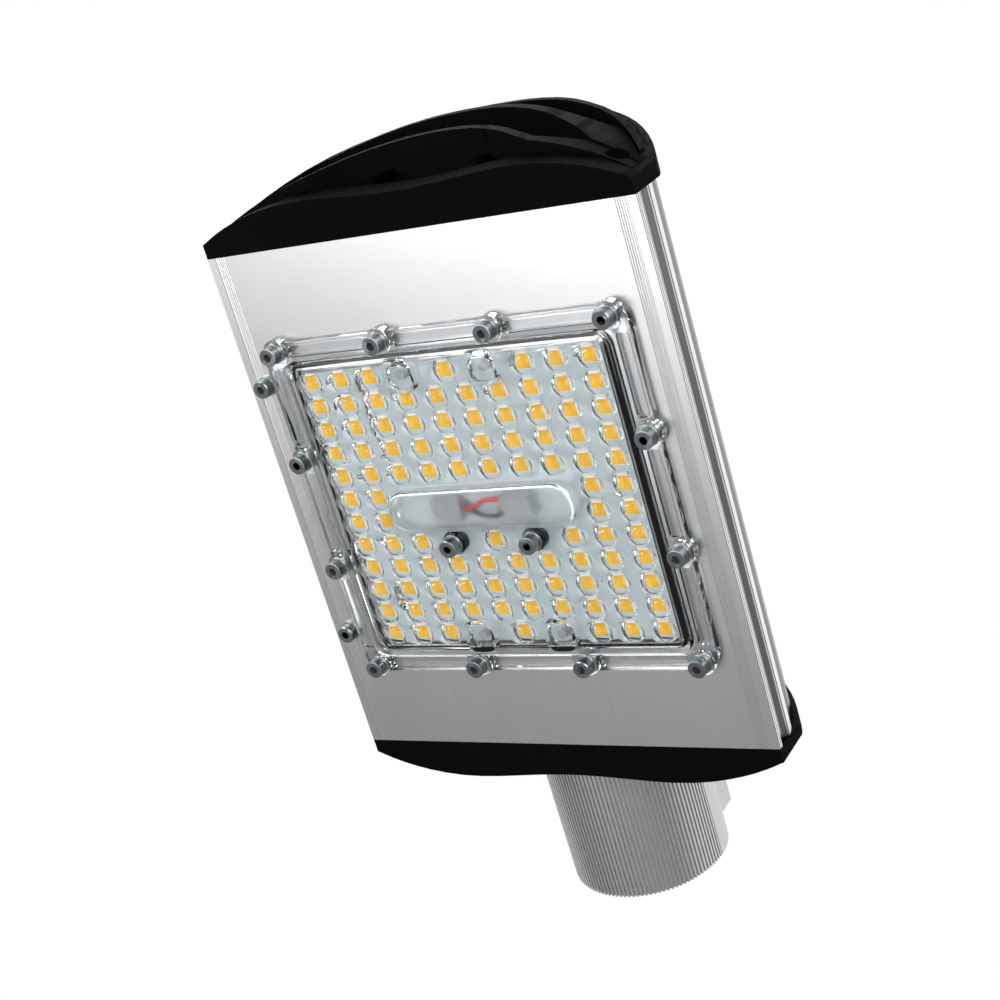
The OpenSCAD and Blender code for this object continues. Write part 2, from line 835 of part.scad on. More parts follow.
// pockets in the flange between the screw bosses
module flange_pockets() {
    long = (2 * corner_x) / 3 - 2 * boss_r - 1.6;
    for (s = [-1, 0, 1], t = [-1, 1]) {
        translate([s * 2 * corner_x / 3, t * (end_y - 0.4)]) rounded(long, pocket_w, 1);
    }
    side_long = 2 * side_y - 2 * boss_r - 1.6;
    end_long = end_y - side_y - 2 * boss_r - 3;
    for (s = [-1, 1]) {
        translate([s * (side_x - 0.8), 0]) rounded(pocket_w, side_long, 1);
        for (t = [-1, 1]) {
            translate([s * (side_x - 0.8), t * (end_y + side_y - 1) / 2]) rounded(pocket_w, end_long, 1);
        }
    }
}

// radius of a sphere that shows as a dome of radius r and height h
function dome_radius(r, h) = (r * r + h * h) / (2 * h);

module lens_plate() {
    ball = dome_radius(lens_y, lens_h);
    pocket_ball = dome_radius(lens_pocket_r, lens_pocket_h);
    color("lightcyan") in_body() below() difference() {
        union() {
            linear_extrude(plate_t) rounded(plate_w, plate_l, 6);
            for (p = plate_screws) {
                translate([p.x, p.y, 0]) cylinder(h = boss_h, r = boss_r);
            }
            // frame round the window
            linear_extrude(frame_h) difference() {
                rounded(2 * frame_out_x, 2 * frame_out_y, 6);
                rounded(2 * frame_in_x, 2 * frame_in_y, 3);
            }
            linear_extrude(window_h) rounded(2 * frame_in_x + 1, 2 * frame_in_y + 1, 3);
            // one lens with two lobes over each LED
            for (p = leds, s = [-1, 1]) {
                translate([p.x + s * lobe, p.y, window_h + lens_h - ball]) sphere(ball);
            }
            // connector cover and wire covers
            pad(2 * cover_x, 2 * cover_y, cover_h, cover_y - 0.6);
            for (s = [-1, 1], t = [-1, 1]) {
                translate([s * hump_x, t * hump_y, 0]) pad(hump_w, hump_w, hump_h, 4);
            }
            for (s = [-1, 1]) {
                translate([s * seat_x, seat_y, 0]) cylinder(h = seat_h, r = seat_r);
            }
        }
        // hollow over the board, left solid round the middle screws
        difference() {
            translate([0, 0, -6]) linear_extrude(6 + hollow_h) rounded(2 * hollow_x, 2 * hollow_y, 2);
            for (s = [-1, 1]) {
                translate([s * seat_x, seat_y, board_t]) cylinder(h = seat_h, r = seat_r);
            }
        }
        // pocket over each LED
        for (p = leds) {
            translate([p.x, p.y, hollow_h + lens_pocket_h - pocket_ball]) sphere(pocket_ball);
        }
        translate([0, 0, 1]) {
            pad(2 * (cover_x - cover_wall), 2 * (cover_y - cover_wall),
                cover_h - cover_wall - 1, cover_y - cover_wall - 0.9);
        }
        for (s = [-1, 1], t = [-1, 1]) {
            translate([s * hump_x, t * (hump_y - 0.6), 1]) {
                pad(hump_w - 3, hump_w - 3.8, hump_h - 2.5, 3);
            }
        }
        translate([0, 0, plate_t - pocket_d]) linear_extrude(pocket_d + 1) flange_pockets();
        // groove for the gasket
        translate([0, 0, -1]) linear_extrude(1 + gasket_t) gasket_ring();
        for (p = plate_screws) {
            translate([p.x, p.y, -1]) cylinder(h = boss_h + 2, r = screw_r + screw_gap);
        }
        for (s = [-1, 1]) {
            translate([s * seat_x, seat_y, -1]) cylinder(h = seat_h + 2, r = screw_r + screw_gap);
        }
    }
}

// the plan of the gasket
module gasket_ring() {
    difference() {
        rounded(2 * gasket_out_x, 2 * gasket_out_y, 4);
        rounded(2 * (gasket_out_x - gasket_w), 2 * (gasket_out_y - gasket_w), 2);
    }
}

module lens_gasket() {
    color("black") in_body() below() linear_extrude(gasket_t) gasket_ring();
}

// screws and washers on the lower face

module lens_screws() {
    color("gray") in_body() hung(plate_screws, boss_h + washer_t) {
        socket_screw(screw_r, head_r, head_h, boss_h + washer_t + thread_in);
    }
}

module lens_washers() {
    color("darkgray") in_body() hung(plate_screws, boss_h) washer();
}

module centre_screws() {
    color("gray") in_body() hung(seats, seat_h + washer_t) {
        socket_screw(screw_r, head_r, head_h, seat_h + washer_t + thread_in);
    }
}

module centre_washers() {
    color("darkgray") in_body() hung(seats, seat_h) washer();
}

module edge_screws() {
    color("gray") in_body() hung(edges, washer_t) {
        socket_screw(screw_r, head_r, head_h, washer_t + thread_in);
    }
}

module edge_washers() {
    color("darkgray") in_body() hung(edges, 0) washer();
}

// Inside the chamber

module driver_bracket() {
    color("lightgray") in_body() translate([0, 0, base_t]) difference() {
        linear_extrude(bracket_t) rounded(bracket_w, bracket_l, 4);
        for (s = [-1, 1]) {
            translate([s * driver_screw_x, s * driver_screw_y, -1]) {
                cylinder(h = bracket_t + 2, r = screw_r + screw_gap);
            }
        }
    }
}

module driver() {
    color("whitesmoke") in_body() translate([0, 0, base_t + bracket_t]) {
        linear_extrude(driver_h) rounded(driver_w, driver_l, 3);
    }
}

module driver_screws() {
    color("gray") in_body() for (s = [-1, 1]) {
        translate([s * driver_screw_x, s * driver_screw_y, base_t + bracket_t]) {
            socket_screw(screw_r, head_r, low_head_h, bracket_t + base_t - 2);
        }
    }
}

module terminal_block() {
    color("beige") in_body() difference() {
        translate([block_x - block_w / 2, block_y - block_l / 2, base_t]) cube([block_w, block_l, block_h]);
        // wire entries on the gland side
        for (i = [-1, 0, 1]) {
            translate([block_x + i * block_pitch, block_y + 1, base_t + block_pitch]) {
                rotate([-90, 0, 0]) cylinder(h = block_l, r = 2.5);
            }
        }
    }
}

module earth_screw() {
    color("goldenrod") in_body() translate([earth_x, earth_y, base_t]) {
        socket_screw(screw_r, head_r, low_head_h, base_t - 2);
    }
}

// Drawing
housing();
front_cap();
rear_cap();
front_seal();
front_bulkhead();
front_bulkhead_screws();
breather();
rear_seal();
rear_bulkhead();
cable_gland();
spigot();
spigot_screws();
clamp_screws();
front_cap_screws();
rear_cap_screws();
led_board();
led_packages();
board_connectors();
lens_plate();
lens_gasket();
lens_screws();
lens_washers();
centre_screws();
centre_washers();
edge_screws();
edge_washers();
driver();
driver_bracket();
driver_screws();
terminal_block();
earth_screw();
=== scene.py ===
import math

import bmesh
import bpy
from mathutils import Matrix, Vector


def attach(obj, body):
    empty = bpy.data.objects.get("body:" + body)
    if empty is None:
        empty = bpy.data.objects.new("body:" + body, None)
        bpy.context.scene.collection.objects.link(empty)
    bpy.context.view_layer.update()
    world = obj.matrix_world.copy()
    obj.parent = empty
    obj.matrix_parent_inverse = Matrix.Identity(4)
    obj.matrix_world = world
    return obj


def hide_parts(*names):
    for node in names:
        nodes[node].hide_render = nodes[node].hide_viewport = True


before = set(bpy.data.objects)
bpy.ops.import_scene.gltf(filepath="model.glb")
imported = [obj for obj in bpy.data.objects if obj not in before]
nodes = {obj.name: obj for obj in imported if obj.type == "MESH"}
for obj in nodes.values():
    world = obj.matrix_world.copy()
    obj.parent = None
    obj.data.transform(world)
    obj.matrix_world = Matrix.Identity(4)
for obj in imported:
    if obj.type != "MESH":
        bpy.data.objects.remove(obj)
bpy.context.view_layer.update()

scene = bpy.context.scene
scene.view_settings.view_transform = "Standard"


# ---------------------------------------------------------------- materials

def new_material(name):
    mat = bpy.data.materials.new(name)
    mat.use_nodes = True
    tree = mat.node_tree
    tree.nodes.clear()
    out = tree.nodes.new("ShaderNodeOutputMaterial")
    shader = tree.nodes.new("ShaderNodeBsdfPrincipled")
    tree.links.new(shader.outputs[0], out.inputs[0])
    return mat, tree, shader


def noise(tree, scale, stretch=(1, 1, 1), detail=4.0):
    """Noise in the part's own metres; scale is in cells per metre."""
    coord = tree.nodes.new("ShaderNodeTexCoord")
    mapping = tree.nodes.new("ShaderNodeMapping")
    mapping.inputs["Scale"].default_value = stretch
    tex = tree.nodes.new("ShaderNodeTexNoise")
    tex.inputs["Scale"].default_value = scale
    tex.inputs["Detail"].default_value = detail
    tex.inputs["Roughness"].default_value = 0.55
    tree.links.new(coord.outputs["Object"], mapping.inputs["Vector"])
    tree.links.new(mapping.outputs["Vector"], tex.inputs["Vector"])
    return tex.outputs["Fac"]


def span(tree, value, low, high):
    """The usual range of a noise, spread over low to high."""
    node = tree.nodes.new("ShaderNodeMapRange")
    node.inputs["From Min"].default_value = 0.3
    node.inputs["From Max"].default_value = 0.7
    node.inputs["To Min"].default_value = low
    node.inputs["To Max"].default_value = high
    tree.links.new(value, node.inputs["Value"])
    return node.outputs["Result"]


def two_tone(tree, value, dark, light):
    node = tree.nodes.new("ShaderNodeMix")
    node.data_type = "RGBA"
    node.inputs["A"].default_value = (*dark, 1)
    node.inputs["B"].default_value = (*light, 1)
    tree.links.new(value, node.inputs["Factor"])
    return node.outputs["Result"]


def bump(tree, shader, value, depth, strength):
    node = tree.nodes.new("ShaderNodeBump")
    node.inputs["Strength"].default_value = strength
    node.inputs["Distance"].default_value = depth
    tree.links.new(value, node.inputs["Height"])
    tree.links.new(node.outputs["Normal"], shader.inputs["Normal"])


def metal(name, dark, light, rough, grain, stretch, depth):
    """A metal with grain cells per metre, drawn out by stretch, and relief depth metres deep."""
    mat, tree, shader = new_material(name)
    fine = noise(tree, grain, stretch)
    cloud = noise(tree, 22, detail=3.0)
    tree.links.new(two_tone(tree, cloud, dark, light), shader.inputs["Base Color"])
    tree.links.new(span(tree, fine, rough - 0.02, rough + 0.02), shader.inputs["Roughness"])
    shader.inputs["Metallic"].default_value = 1.0
    bump(tree, shader, fine, depth, 0.35)
    return mat


def plastic(name, dark, light, rough, grain, depth, specular=0.5):
    mat, tree, shader = new_material(name)
    fine = noise(tree, grain)
    cloud = noise(tree, 40, detail=3.0)
    tree.links.new(two_tone(tree, cloud, dark, light), shader.inputs["Base Color"])
    tree.links.new(span(tree, fine, rough - 0.06, rough + 0.06), shader.inputs["Roughness"])
    shader.inputs["Specular IOR Level"].default_value = specular
    bump(tree, shader, fine, depth, 0.4)
    return mat


def clear_plastic(name, smooth, rough, ior):
    mat, tree, shader = new_material(name)
    cloud = noise(tree, 30, detail=3.0)
    tint = two_tone(tree, cloud, (0.955, 0.975, 0.98), (0.99, 0.995, 1.0))
    tree.links.new(tint, shader.inputs["Base Color"])
    fine = noise(tree, 260)
    tree.links.new(span(tree, fine, smooth, rough), shader.inputs["Roughness"])
    bump(tree, shader, fine, 0.00001, 0.1)
    shader.inputs["Transmission Weight"].default_value = 1.0
    shader.inputs["IOR"].default_value = ior
    return mat


EVEN = (1, 1, 1)
DRAWN = (260, (6, 0.12, 6), 0.00001)    # the long grain of an extrusion

aluminium = metal("satin_aluminium", (0.57, 0.57, 0.58), (0.62, 0.62, 0.63), 0.345, *DRAWN)
# Lighter and darker copies of the aluminium: painted highlight, mid shade and shade for bands along
# the housing's sides; the lightest is also painted light on screw shanks
painted_light_aluminium = metal("aluminium_painted_light", (0.84, 0.84, 0.85), (0.89, 0.89, 0.90), 0.38, *DRAWN)
painted_mid_shade_aluminium = metal("aluminium_painted_mid_shade", (0.60, 0.60, 0.61), (0.64, 0.64, 0.65), 0.40, *DRAWN)
painted_shade_aluminium = metal("aluminium_painted_shade", (0.20, 0.20, 0.21), (0.25, 0.25, 0.26), 0.45, *DRAWN)
spigot_metal = metal("cast_aluminium", (0.57, 0.57, 0.58),
                     (0.63, 0.63, 0.64), 0.42, 700, EVEN, 0.00006)
plate_metal = metal("sheet_aluminium", (0.55, 0.55, 0.56),
                    (0.62, 0.62, 0.63), 0.40, 300, (1, 8, 1), 0.00003)
zinc = metal("zinc_steel", (0.19, 0.22, 0.22), (0.27, 0.31, 0.31), 0.32, 1400, EVEN, 0.00002)
bright_zinc = metal("bright_zinc", (0.34, 0.37, 0.37),
                    (0.44, 0.47, 0.47), 0.28, 1400, EVEN, 0.00002)
brass = metal("brass", (0.60, 0.42, 0.16), (0.68, 0.50, 0.22), 0.35, 1400, EVEN, 0.00003)
black = plastic("black_cap", (0.0018, 0.0018, 0.0019),
                (0.003, 0.003, 0.003), 0.65, 1500, 0.00001, specular=0.008)
rubber = plastic("dark_rubber", (0.05, 0.055, 0.06),
                 (0.08, 0.085, 0.09), 0.6, 900, 0.00005, specular=0.3)
fitting = plastic("black_fitting", (0.015, 0.015, 0.016), (0.025, 0.025, 0.026), 0.45, 900, 0.00003)
board = plastic("solder_mask", (0.53, 0.61, 0.635), (0.59, 0.66, 0.68), 0.40, 500, 0.00002)
package = plastic("led_body", (0.90, 0.90, 0.88), (0.95, 0.95, 0.93), 0.40, 2500, 0.00001)
phosphor = plastic("led_phosphor", (0.66, 0.34, 0.012),
                   (0.74, 0.42, 0.02), 0.45, 2500, 0.00002, specular=0.3)
connector = plastic("connector_grey", (0.30, 0.31, 0.32), (0.42, 0.43, 0.44), 0.45, 900, 0.00003)
# the black wire's own colour, also used as painted shade inside screw sockets
black_wire_and_socket_shade = plastic("black_wire_and_painted_socket_shade", (0.04, 0.04, 0.045), (0.07, 0.07, 0.075), 0.4, 900, 0.00003)
red_wire = plastic("red_wire", (0.75, 0.02, 0.02), (0.85, 0.04, 0.035), 0.4, 900, 0.00002)
case = plastic("driver_case", (0.72, 0.72, 0.70), (0.78, 0.78, 0.76), 0.4, 900, 0.00003)
beige = plastic("terminal_beige", (0.70, 0.64, 0.50), (0.76, 0.70, 0.56), 0.5, 900, 0.00003)
lens = clear_plastic("clear_plate", 0.0, 0.02, 1.45)
dome = clear_plastic("clear_dome", 0.0, 0.02, 1.25)
frosted = clear_plastic("frosted_cover", 0.40, 0.50, 1.45)
# opaque white, a painted highlight along the clear cover's edge
edge = plastic("cover_painted_highlight", (0.90, 0.91, 0.91), (0.95, 0.96, 0.96), 0.2, 900, 0.00001)
gasket = plastic("grey_gasket", (0.11, 0.12, 0.13),
                 (0.16, 0.17, 0.18), 0.6, 900, 0.00005, specular=0.3)

looks = {
    "housing": aluminium, "front_cap": black, "rear_cap": black, "front_seal": rubber,
    "front_bulkhead": plate_metal, "front_bulkhead_screws": zinc, "breather": fitting,
    "rear_seal": rubber, "rear_bulkhead": plate_metal, "cable_gland": fitting,
    "spigot": spigot_metal, "spigot_screws": zinc, "clamp_screws": zinc,
    "front_cap_screws": zinc, "rear_cap_screws": zinc, "led_board": board,
    "led_packages": package, "board_connectors": connector, "lens_plate": lens,
    "lens_gasket": gasket, "lens_screws": zinc, "lens_washers": bright_zinc, "centre_screws": zinc,
    "centre_washers": bright_zinc, "edge_screws": zinc, "edge_washers": bright_zinc, "driver": case,
    "driver_bracket": plate_metal, "driver_screws": zinc, "terminal_block": beige,
    "earth_screw": brass,
}
for name, mat in looks.items():
    mesh = nodes[name].data
    mesh.materials.clear()
    mesh.materials.append(mat)


# ---------------------------------------------------------------- finer meshes

# Heights are measured from the light's lower face: below it on the lens side, above it elsewhere.
FACE_Z = -0.038
MID_Y = -0.179
HALF_W = 0.09
SIDE_X = 0.0885             # further out than this lies a side wall
NEAR = 2e-5                 # how close counts as at a height or a place
AIR = 0.00004               # parts faces that would coincide and render dark

SIDE_H = 0.017              # where the dome of a cap starts, above the face
DOME_RISE = 0.0655
RIM_H = 0.012               # the caps' rim stays as it is up to here
SHOULDER = 0.0042           # how far the shoulders of the caps are raised
SHOULDER_AT = 0.84          # their place and reach, as shares of the half width
SHOULDER_REACH = 0.3
CORNER_R = 0.0022
CAP_EDGE = 0.0005

LINES = 6                   # fine lines along each edge of the lower face
LINE_IN = 0.0034            # from the side to the middle of the first one
LINE_PITCH = 0.0009
LINE_W = 0.00045
LINE_D = 0.00006
RIB_STEPS = 16              # ribs and valleys of a side slope
RIB_FOOT = (0.0876, 0.014)  # x and height of the slope's foot
RIB_RUN = (-0.0071, 0.016)  # the way from its foot to its top
VALLEY = (0.00045, 0.0003)  # how far a valley lies in from that way
RIB_DEEPER = 0.0008
SLOPE_OUT = 0.0022
GROOVES = (                 # height, width and depth of the lines along the sides
    (0.0003, 0.0005, 0.0004),
    (0.0015, 0.0004, 0.0004),
    (0.0098, 0.0008, 0.0025),
)
FINGER_GROOVE = (0.0050, 0.0093)
TONES = (0.0066, 0.0080)    # heights at which the finger groove's painted shade gets darker

LENS_RIMS = (               # height below the face, width and steps of each soft rim
    (0.0086, 0.0013, 4), (0.0078, 0.0013, 4), (0.0058, 0.0006, 3),
    (0.0055, 0.0005, 2), (0.004, 0.0005, 2), (0.003, 0.0004, 2),
)
DOME_RX = 0.0059            # half axes of the lens over an LED
DOME_RY = 0.00445
COVER_ROOF = 0.0071         # inner roof of the connector cover, below the face
SOCKET_R = 0.00172
SHANK_H = 0.0053            # a screw lies inside the clear plate up to here, below the face, and is painted lighter there
SCREW_EDGE = 0.00018


def cad_copy(name):
    """A welded copy of a node's mesh with its flat areas as single faces."""
    bm = bmesh.new()
    bm.from_mesh(nodes[name].data)
    bmesh.ops.remove_doubles(bm, verts=bm.verts, dist=1e-6)
    bmesh.ops.dissolve_limit(bm, angle_limit=math.radians(0.2), verts=bm.verts, edges=bm.edges)
    return bm


def sharp_edges(bm, degrees):
    limit = math.radians(degrees)
    return [e for e in bm.edges if len(e.link_faces) == 2 and e.calc_face_angle() > limit]


def flat_rims(bm, height):
    """Edges at one height below the lower face, between a flat top and an upright wall."""
    found = []
    for e in bm.edges:
        if len(e.link_faces) != 2 or any(abs(FACE_Z - v.co.z - height) > NEAR for v in e.verts):
            continue
        tilts = sorted(abs(f.normal.z) for f in e.link_faces)
        if tilts[0] < 0.1 and tilts[1] > 0.99:
            found.append(e)
    return found


def soften(bm, edges, width, steps):
    bmesh.ops.bevel(bm, geom=edges, offset=width, offset_type="OFFSET", segments=steps,
                    profile=0.5, affect="EDGES", clamp_overlap=True)


def finish_piece(bm, name, node, materials, smooth, weighted=True):
    """Makes the mesh a piece in place of a node, smooth up to an angle in degrees."""
    mesh = bpy.data.meshes.new(name)
    bm.to_mesh(mesh)
    bm.free()
    for mat in materials:
        mesh.materials.append(mat)
    mesh.polygons.foreach_set("use_smooth", [True] * len(mesh.polygons))
    mesh.set_sharp_from_angle(angle=math.radians(smooth))
    piece = bpy.data.objects.new(name, mesh)
    if weighted:
        normals = piece.modifiers.new("weighted_normals", "WEIGHTED_NORMAL")
        normals.keep_sharp = True
    scene.collection.objects.link(piece)
    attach(piece, "root")
    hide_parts(node)


def part_from(bm, height, by):
    """Moves a flat side off the surface it lies on, so that light gets between the two."""
    for v in bm.verts:
        if abs(FACE_Z - v.co.z - height) < NEAR:
            v.co.z -= by


def fuller_shoulder(v):
    """How far a cap's point rises towards the fuller shoulders of the dome."""
    s = min(1.0, abs(v.co.x) / HALF_W)
    height = v.co.z - FACE_Z
    dome = SIDE_H + DOME_RISE * max(0.0, 1 - s * s) ** 0.85
    share = max(0.0, min(1.0, (height - RIM_H) / max(0.004, dome - RIM_H)))
    swell = max(0.0, 1 - ((s - SHOULDER_AT) / SHOULDER_REACH) ** 2) ** 2
    return SHOULDER * swell * share


def soft_cap(node):
    """A cap with its shoulders raised, its lower corners rounded and its edges softened."""
    bm = cad_copy(node)
    for v in bm.verts:
        v.co.z += fuller_shoulder(v)
    corner = [e for e in sharp_edges(bm, 30)
              if all(abs(v.co.x) > SIDE_X and v.co.z - FACE_Z < 0.0006 for v in e.verts)]
    soften(bm, corner, CORNER_R, 4)
    soften(bm, sharp_edges(bm, 30), CAP_EDGE, 2)
    finish_piece(bm, node + "_soft", node, [black], 30)


def cut(bm, place, direction):
    """Splits the faces that a plane crosses."""
    bmesh.ops.bisect_plane(bm, geom=bm.verts[:] + bm.edges[:] + bm.faces[:], plane_co=place,
                           plane_no=direction, dist=1e-6)


def fine_housing():
    """The extrusion with evenly spaced lines along its face's edges and grooves along its sides,
    its sides painted in bands of highlight and shade.
    """
    bm = cad_copy("housing")
    for v in bm.verts:
        if abs(v.co.x) > 0.083 and 0 < v.co.z - FACE_Z < 0.0003:
            v.co.z = FACE_Z
    bmesh.ops.dissolve_degenerate(bm, dist=1e-6, edges=bm.edges)
    for i in range(LINES):
        middle = HALF_W - LINE_IN - i * LINE_PITCH
        for side in (-1, 1):
            for x in (middle - LINE_W / 2, middle, middle + LINE_W / 2):
                cut(bm, (side * x, 0, 0), (1, 0, 0))
            for v in bm.verts:
                if abs(v.co.x - side * middle) < 5e-6 and abs(v.co.z - FACE_Z) < 5e-6:
                    v.co.z += LINE_D
    step_x = RIB_RUN[0] / RIB_STEPS
    step_h = RIB_RUN[1] / RIB_STEPS
    for v in bm.verts:
        for i in range(1, RIB_STEPS, 2):
            x = RIB_FOOT[0] + i * step_x - VALLEY[0]
            h = RIB_FOOT[1] + i * step_h - VALLEY[1]
            if abs(abs(v.co.x) - x) < NEAR and abs(v.co.z - FACE_Z - h) < NEAR:
                v.co.x -= math.copysign(RIB_DEEPER, v.co.x)
    for v in bm.verts:
        h = v.co.z - FACE_Z
        if abs(v.co.x) > 0.0785 and 0.0141 < h < 0.0301:
            v.co.x += math.copysign(SLOPE_OUT * (h - RIB_FOOT[1]) / RIB_RUN[1], v.co.x)
    for height, width, depth in GROOVES:
        for h in (height - width / 2, height, height + width / 2):
            cut(bm, (0, 0, FACE_Z + h), (0, 0, 1))
        for v in bm.verts:
            if abs(v.co.x) > SIDE_X and abs(v.co.z - FACE_Z - height) < 5e-6:
                v.co.x -= math.copysign(depth, v.co.x)
                # the faces along each groove get painted shade
                for f in v.link_faces:
                    if abs(f.normal.y) < 0.5:
                        f.material_index = 2
    for h in TONES:
        cut(bm, (0, 0, FACE_Z + h), (0, 0, 1))
    # the finger groove is painted from highlight through mid shade to shade, and the rest of each
    # side below the ribs gets painted highlight
    for f in bm.faces:
        c = f.calc_center_median()
        h = c.z - FACE_Z
        if abs(c.x) < 0.0865 or abs(f.normal.y) > 0.5 or f.material_index == 2:
            continue
        if FINGER_GROOVE[0] < h < FINGER_GROOVE[1]:
            f.material_index = 3 if h < TONES[0] else 1 if h < TONES[1] else 2
        elif 0.0001 < h < RIB_FOOT[1]:
            f.material_index = 3
    finish_piece(bm, "housing_fine", "housing", [aluminium, painted_mid_shade_aluminium, painted_shade_aluminium, painted_light_aluminium], 8)


def led_centres():
    """The middle of every LED package's outer face."""
    bm = cad_copy("led_packages")
    found = [f.calc_center_median() for f in bm.faces if f.normal.z < -0.99]
    bm.free()
    return found


def over_led(c, leds):
    return any(((c.x - p.x) / DOME_RX) ** 2 + ((c.y - p.y) / DOME_RY) ** 2 < 1 for p in leds)


def soft_lens():
    """The clear plate with soft rims, a frosted roof and one painted highlight, an opaque white
    strip, along its cover's edge.
    """
    leds = led_centres()
    bm = cad_copy("lens_plate")
    for height, width, steps in LENS_RIMS:
        soften(bm, flat_rims(bm, height), width, steps)
    part_from(bm, 0, AIR)
    for f in bm.faces:
        c = f.calc_center_median()
        below = FACE_Z - c.z
        in_cover = abs(c.x) < 0.0415 and abs(c.y - MID_Y) < 0.0088
        on_cover = abs(c.x) < 0.0405 and abs(c.y - MID_Y) < 0.0084 and below > 0.0075
        lit = 0.42 < -f.normal.y < 0.62 or 0.42 < f.normal.x < 0.86
        if in_cover and abs(below - COVER_ROOF) < 0.0002:
            f.material_index = 1
        # the cover's faces turned towards the lamps get the painted highlight
        elif on_cover and lit:
            f.material_index = 3
        elif f.calc_area() < 1e-5 and over_led(c, leds):
            f.material_index = 2
    finish_piece(bm, "lens_plate_soft", "lens_plate", [lens, frosted, dome, edge], 30,
                 weighted=False)


def islands(bm):
    """The separate solids of a mesh, as lists of vertices."""
    left = set(bm.verts)
    found = []
    while left:
        group = [left.pop()]
        for v in group:
            for e in v.link_edges:
                other = e.other_vert(v)
                if other in left:
                    left.remove(other)
                    group.append(other)
        found.append(group)
    return found


def paint_socket_shade(bm):
    """Paints shade on the walls and floor of every hexagon socket with the second, dark material.
    """
    for group in islands(bm):
        x = (min(v.co.x for v in group) + max(v.co.x for v in group)) / 2
        y = (min(v.co.y for v in group) + max(v.co.y for v in group)) / 2
        for f in {f for v in group for f in v.link_faces}:
            c = f.calc_center_median()
            if math.hypot(c.x - x, c.y - y) < SOCKET_R:
                f.material_index = 1


def paint_shank_light(bm):
    """Gives what lies inside the clear plate the third, bright material as painted light, since
    little light gets there.
    """
    for f in bm.faces:
        if FACE_Z - f.calc_center_median().z < SHANK_H:
            f.material_index = 2


def soft_screws(node, mat):
    """Screws or washers with soft edges; washers are parted from the faces they lie on."""
    bm = cad_copy(node)
    if node.endswith("washers"):
        for height in (0, 0.004, 0.0055):
            part_from(bm, height, AIR)
    soften(bm, sharp_edges(bm, 50), SCREW_EDGE, 2)
    if node.endswith("screws"):
        paint_socket_shade(bm)
    if node == "centre_screws":
        paint_shank_light(bm)
    finish_piece(bm, node + "_soft", node, [mat, black_wire_and_socket_shade, painted_light_aluminium], 40)


def add_box(bm, low, high, lower_material=0):
    """A box with its corners at low and high; its lower side may have its own material."""
    corners = [bm.verts.new((x, y, z)) for z in (low[2], high[2]) for y in (low[1], high[1])
               for x in (low[0], high[0])]
    rings = ((0, 1, 3, 2), (4, 6, 7, 5), (0, 4, 5, 1), (2, 3, 7, 6), (0, 2, 6, 4), (1, 5, 7, 3))
    for i, ring in enumerate(rings):
        face = bm.faces.new([corners[k] for k in ring])
        face.material_index = lower_material if i == 0 else 0


def packages_with_painted_reflection():
    """White LED bodies with a phosphor field; each body reaches out in front as a white strip, a
    painted reflection of the lens drawn as part of the real white body.
    """
    bm = bmesh.new()
    for c in led_centres():
        # the white body reaches 4.2 mm in front of the LED's middle, past the real package, as a
        # painted reflection
        add_box(bm, (c.x - 0.0023, c.y - 0.0042, c.z), (c.x + 0.0023, c.y + 0.0025, c.z + 0.0009))
        add_box(bm, (c.x - 0.0022, c.y - 0.0022, c.z - 0.00006),
                (c.x + 0.0022, c.y + 0.0024, c.z + 0.0002), 1)
    bmesh.ops.recalc_face_normals(bm, faces=bm.faces)
    finish_piece(bm, "led_packages_painted_reflection", "led_packages", [package, phosphor], 30)


def wire(name, points, mat):
    """A wire through points, each given as x, y from the window's middle and height below."""
    curve = bpy.data.curves.new(name, "CURVE")
    curve.dimensions = "3D"
    curve.bevel_depth = 0.0008
    curve.bevel_resolution = 4
    spline = curve.splines.new("BEZIER")
    spline.bezier_points.add(len(points) - 1)
    for point, (x, y, h) in zip(spline.bezier_points, points):
        point.co = (x, MID_Y + y, FACE_Z - h)
        point.handle_left_type = point.handle_right_type = "AUTO"
    curve.materials.append(mat)
    piece = bpy.data.objects.new(name, curve)
    scene.collection.objects.link(piece)
    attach(piece, "root")


soft_cap("front_cap")
soft_cap("rear_cap")
fine_housing()
soft_lens()
packages_with_painted_reflection()
for kind, mat in (("screws", zinc), ("washers", bright_zinc)):
    for row in ("lens", "centre", "edge"):
        soft_screws(row + "_" + kind, mat)
wire("wire_red", ((-0.0085, 0.001, 0.0035), (-0.004, 0.0, 0.005),
                  (0.003, -0.0028, 0.0055), (0.0088, -0.0015, 0.0035)), red_wire)
wire("wire_black", ((-0.0085, -0.001, 0.003), (-0.002, 0.003, 0.0042),
                    (0.005, 0.0038, 0.0042), (0.0088, 0.0015, 0.003)), black_wire_and_socket_shade)


# ---------------------------------------------------------------- surroundings

AIM = Vector((0.0, -0.18, -0.02))


